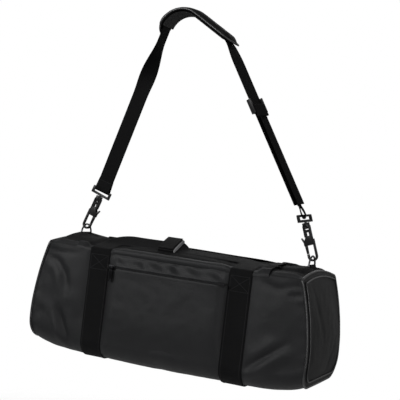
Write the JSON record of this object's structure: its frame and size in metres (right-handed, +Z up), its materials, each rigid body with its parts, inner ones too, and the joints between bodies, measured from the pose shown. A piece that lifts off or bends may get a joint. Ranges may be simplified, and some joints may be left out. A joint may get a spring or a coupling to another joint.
{
  "type": "telescope carry case",
  "caption": "Padded fabric carry case with a zipped top of two flaps, a front pocket, webbing handles, and a shoulder strap with swivel snap hooks, an adjuster and a pad.",
  "frame": {"origin": "underside of the shoulder pad at the top of its curve, where it rests on a shoulder", "axes": "+X along the case to the end with the strap adjuster, +Y to the carrier's side, away from the front pocket, +Z up"},
  "size_m": [0.6474, 0.2625, 0.8013],
  "materials": {
    "shell_fabric": "woven black polyester with a soft sheen",
    "foam": "closed-cell foam",
    "lining": "plain woven lining",
    "mesh": "black spacer mesh",
    "webbing": "ribbed black webbing",
    "wrap_cloth": "black padded cloth",
    "piping": "black corded edge",
    "zip_tape": "black zip tape with coil teeth",
    "zip_metal": "black enamel",
    "ring_metal": "black-plated wire",
    "hook_plastic": "moulded black acetal"
  },
  "bodies": {
    "strap": {"shoulder_strap": "webbing", "strap_return": "webbing", "left_strap_loop": "webbing", "right_strap_loop": "webbing", "left_eye": "hook_plastic", "right_eye": "hook_plastic", "pad_cover": "shell_fabric", "pad_foam": "foam", "pad_backing": "mesh"},
    "case": {"body_wrap": "shell_fabric", "left_end_panel": "shell_fabric", "right_end_panel": "shell_fabric", "front_foam": "foam", "back_foam": "foam", "base_foam": "foam", "left_foam": "foam", "right_foam": "foam", "lining": "lining", "left_top_strip": "shell_fabric", "right_top_strip": "shell_fabric", "left_piping": "piping", "right_piping": "piping", "left_webbing": "webbing", "right_webbing": "webbing", "pocket_panel": "shell_fabric", "pocket_band": "shell_fabric", "pocket_zip": "zip_tape", "zip_ends": "zip_tape", "left_ring_tab": "webbing", "right_ring_tab": "webbing"},
    "front_flap": {"front_flap_cover": "shell_fabric", "front_flap_foam": "foam", "front_zip_tape": "zip_tape"},
    "back_flap": {"back_flap_cover": "shell_fabric", "back_flap_foam": "foam", "back_zip_tape": "zip_tape"},
    "front_handle": {"front_handle": "webbing", "handle_wrap": "wrap_cloth"},
    "wrap_flap": {"wrap_flap": "wrap_cloth"},
    "back_handle": {"back_handle": "webbing"},
    "zip_slider": {"zip_slider": "zip_metal"},
    "zip_pull": {"zip_pull": "zip_metal"},
    "pocket_slider": {"pocket_slider": "zip_metal"},
    "pocket_pull": {"pocket_pull": "zip_metal"},
    "left_ring": {"left_ring": "ring_metal"},
    "right_ring": {"right_ring": "ring_metal"},
    "left_hook": {"left_hook": "hook_plastic"},
    "right_hook": {"right_hook": "hook_plastic"},
    "left_gate": {"left_gate": "hook_plastic"},
    "right_gate": {"right_gate": "hook_plastic"},
    "adjuster": {"strap_adjuster": "hook_plastic", "adjuster_loop": "webbing"}
  },
  "joints": [
    {"name": "bag_swing", "type": "hinge", "parent": "strap", "child": "case", "pos_m": [0.08142, 0, -0.50062], "axis": [1, 0, 0], "range_deg": [-30, 30]},
    {"name": "front_flap_fold", "type": "hinge", "parent": "case", "child": "front_flap", "pos_m": [0.08142, -0.1212, -0.54242], "axis": [1, 0, 0], "range_deg": [0, 95]},
    {"name": "back_flap_fold", "type": "hinge", "parent": "case", "child": "back_flap", "pos_m": [0.08142, 0.1212, -0.54242], "axis": [-1, 0, 0], "range_deg": [0, 95]},
    {"name": "front_handle_fold", "type": "hinge", "parent": "front_flap", "child": "front_handle", "pos_m": [0.08142, -0.1212, -0.54242], "axis": [1, 0, 0], "range_deg": [0, 110]},
    {"name": "back_handle_fold", "type": "hinge", "parent": "back_flap", "child": "back_handle", "pos_m": [0.08142, 0.1212, -0.54242], "axis": [-1, 0, 0], "range_deg": [0, 110]},
    {"name": "wrap_flap_open", "type": "hinge", "parent": "front_handle", "child": "wrap_flap", "pos_m": [0.04942, -0.02765, -0.50214], "axis": [-1, 0, 0], "range_deg": [0, 140]},
    {"name": "zip_slide", "type": "slide", "parent": "case", "child": "zip_slider", "axis": [1, 0, 0], "range_m": [0, 0.497]},
    {"name": "zip_pull_lift", "type": "hinge", "parent": "zip_slider", "child": "zip_pull", "pos_m": [-0.18058, 0, -0.52827], "axis": [0, -1, 0], "range_deg": [0, 80]},
    {"name": "pocket_zip_slide", "type": "slide", "parent": "case", "child": "pocket_slider", "axis": [1, 0, 0], "range_m": [0, 0.25]},
    {"name": "pocket_pull_lift", "type": "hinge", "parent": "pocket_slider", "child": "pocket_pull", "pos_m": [-0.04358, -0.1384, -0.57762], "axis": [-1, 0, 0], "range_deg": [0, 150]},
    {"name": "left_ring_turn", "type": "hinge", "parent": "case", "child": "left_ring", "pos_m": [-0.19458, 0, -0.52262], "axis": [0, 1, 0], "range_deg": [-2, 2]},
    {"name": "right_ring_turn", "type": "hinge", "parent": "case", "child": "right_ring", "pos_m": [0.35742, 0, -0.52262], "axis": [0, 1, 0], "range_deg": [-2, 2]},
    {"name": "left_swivel", "type": "hinge", "parent": "strap", "child": "left_hook", "pos_m": [-0.19458, 0, -0.50062], "axis": [0.342, 0, 0.9397], "range_deg": [-18, 18]},
    {"name": "right_swivel", "type": "hinge", "parent": "strap", "child": "right_hook", "pos_m": [0.35742, 0, -0.50062], "axis": [-0.342, 0, 0.9397], "range_deg": [-18, 18]},
    {"name": "left_gate_press", "type": "hinge", "parent": "left_hook", "child": "left_gate", "pos_m": [-0.17655, 0, -0.47739], "axis": [0, 1, 0], "range_deg": [0, 22], "stiffness_Nm_per_rad": 0.05, "springref_deg": -17.19},
    {"name": "right_gate_press", "type": "hinge", "parent": "right_hook", "child": "right_gate", "pos_m": [0.33938, 0, -0.47739], "axis": [0, -1, 0], "range_deg": [0, 22], "stiffness_Nm_per_rad": 0.05, "springref_deg": -17.19},
    {"name": "strap_adjust", "type": "slide", "parent": "strap", "child": "adjuster", "axis": [0.5164, 0, -0.8563], "range_m": [0, 0.16], "deforming": ["strap_return"]}
  ]
}
